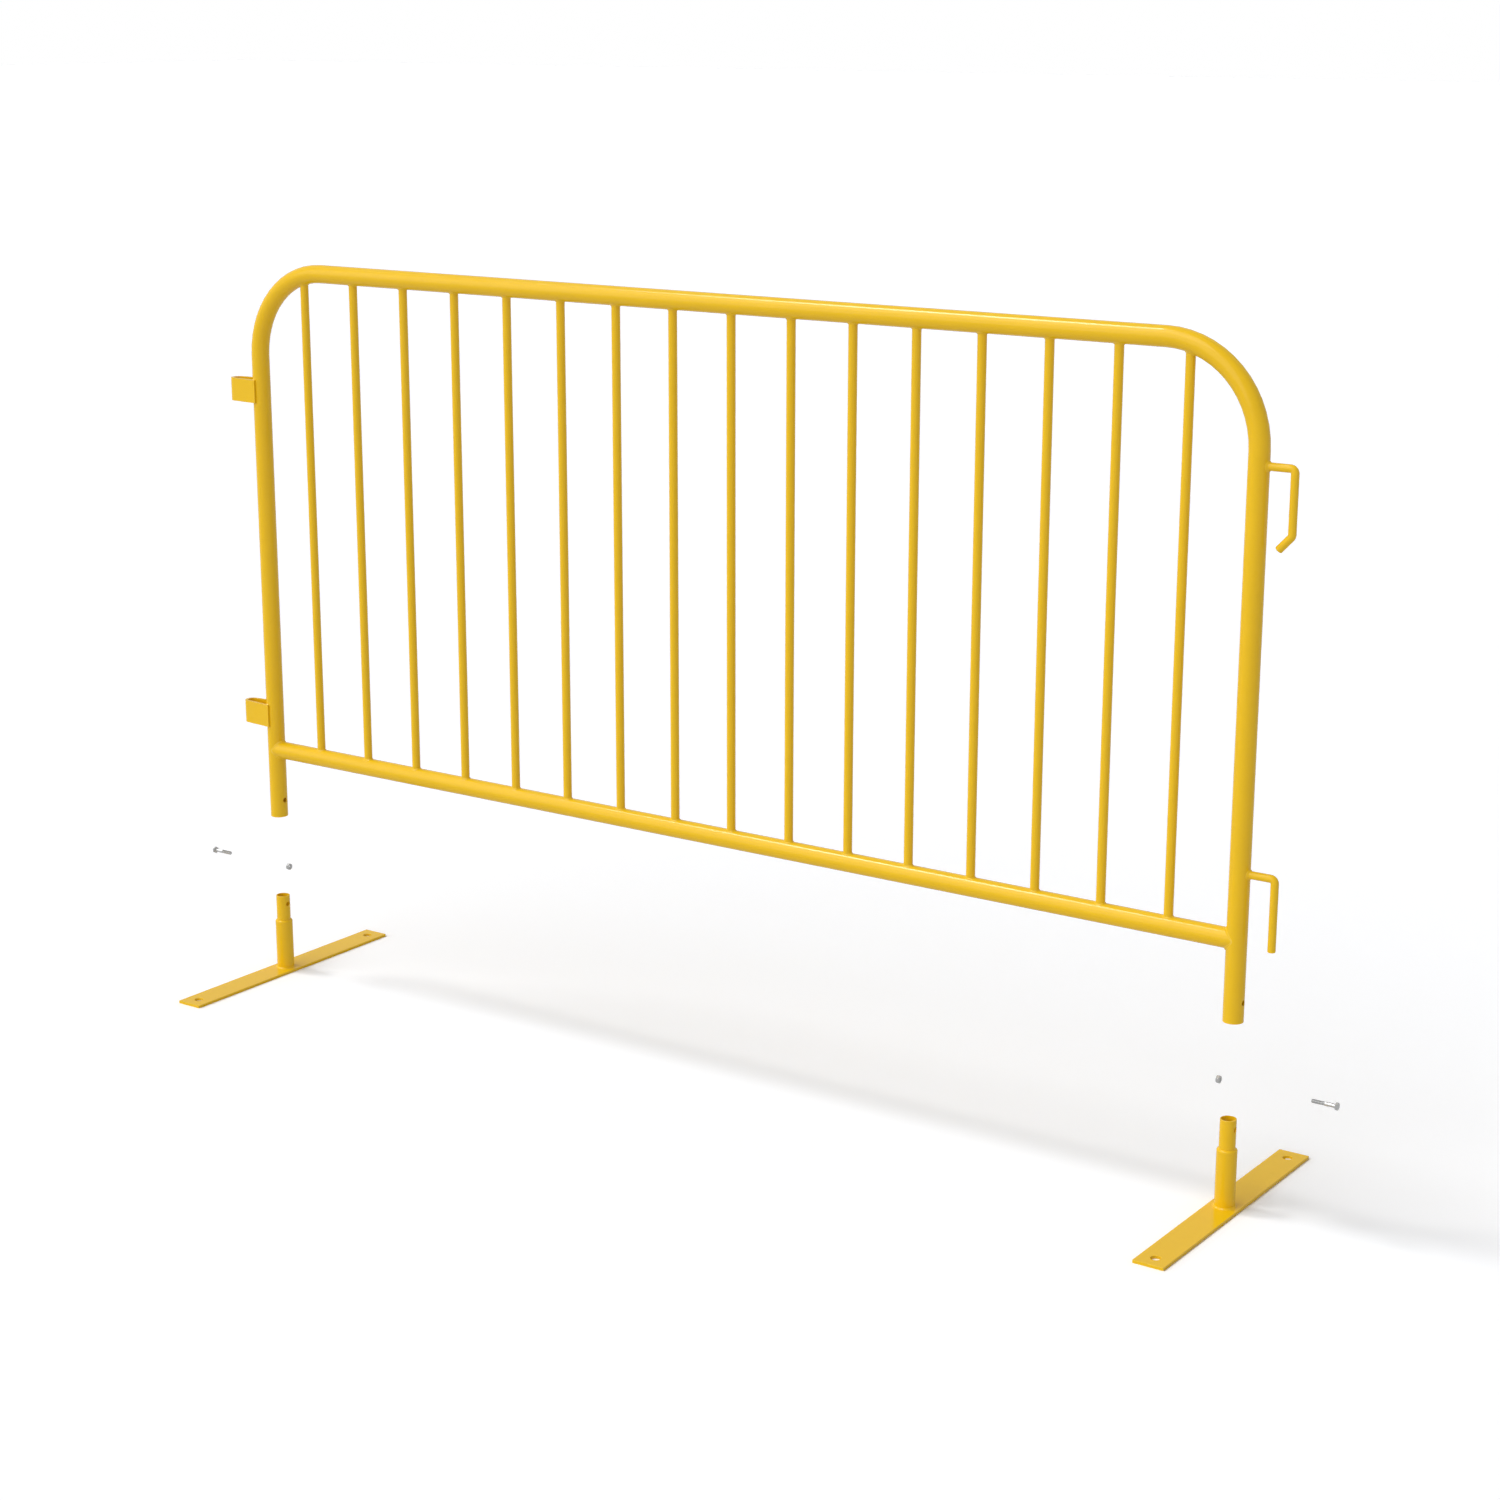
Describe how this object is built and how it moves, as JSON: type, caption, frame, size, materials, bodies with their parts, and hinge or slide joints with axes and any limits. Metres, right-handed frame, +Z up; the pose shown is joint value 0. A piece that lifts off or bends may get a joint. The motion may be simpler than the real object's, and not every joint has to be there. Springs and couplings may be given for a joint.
{
  "type": "crowd control barrier",
  "caption": "Welded steel tube barrier panel with round infill bars and linking hooks and loops, lowered onto bolted flat-bar feet; shown lifted apart.",
  "frame": {"origin": "on the floor at mid-span, in the plane of the panel", "axes": "+X along the panel from the loop end to the hook end, +Y horizontal and square to the panel, +Z up"},
  "size_m": [2.2978, 0.508, 1.3287],
  "materials": {
    "yellow_powder_coat": "satin yellow powder coat",
    "zinc_plate": "bright zinc plate"
  },
  "bodies": {
    "left_base": {"left_base_plate": "yellow_powder_coat", "left_stub_tube": "yellow_powder_coat"},
    "panel": {"frame_tube": "yellow_powder_coat", "bottom_rail": "yellow_powder_coat", "upright_bar_01": "yellow_powder_coat", "upright_bar_02": "yellow_powder_coat", "upright_bar_03": "yellow_powder_coat", "upright_bar_04": "yellow_powder_coat", "upright_bar_05": "yellow_powder_coat", "upright_bar_06": "yellow_powder_coat", "upright_bar_07": "yellow_powder_coat", "upright_bar_08": "yellow_powder_coat", "upright_bar_09": "yellow_powder_coat", "upright_bar_10": "yellow_powder_coat", "upright_bar_11": "yellow_powder_coat", "upright_bar_12": "yellow_powder_coat", "upright_bar_13": "yellow_powder_coat", "upright_bar_14": "yellow_powder_coat", "upright_bar_15": "yellow_powder_coat", "upright_bar_16": "yellow_powder_coat", "upper_loop": "yellow_powder_coat", "lower_loop": "yellow_powder_coat", "upper_hook": "yellow_powder_coat", "lower_hook": "yellow_powder_coat"},
    "right_base": {"right_base_plate": "yellow_powder_coat", "right_stub_tube": "yellow_powder_coat"},
    "left_nut": {"left_nut": "zinc_plate"},
    "left_bolt": {"left_bolt": "zinc_plate"},
    "right_nut": {"right_nut": "zinc_plate"},
    "right_bolt": {"right_bolt": "zinc_plate"}
  },
  "joints": [
    {"name": "panel_seat", "type": "slide", "parent": "left_base", "child": "panel", "axis": [0, 0, -1], "range_m": [0, 0.2032]},
    {"name": "right_base_stays", "type": "slide", "parent": "panel", "child": "right_base", "axis": [0, 0, 1], "range_m": [0, 0.2032]},
    {"name": "left_nut_lower", "type": "slide", "parent": "left_base", "child": "left_nut", "axis": [0, 0, -1], "range_m": [0, 0.0747]},
    {"name": "right_nut_lower", "type": "slide", "parent": "right_base", "child": "right_nut", "axis": [0, 0, -1], "range_m": [0, 0.0747]},
    {"name": "left_bolt_insert", "type": "slide", "parent": "left_nut", "child": "left_bolt", "axis": [1, 0, 0], "range_m": [0, 0.154]},
    {"name": "right_bolt_insert", "type": "slide", "parent": "right_nut", "child": "right_bolt", "axis": [-1, 0, 0], "range_m": [0, 0.154]}
  ],
  "couplings": [
    {"joint": "right_base_stays", "follows": "panel_seat", "ratio": 1},
    {"joint": "left_nut_lower", "follows": "panel_seat", "ratio": 0.36762},
    {"joint": "right_nut_lower", "follows": "panel_seat", "ratio": 0.36762}
  ]
}
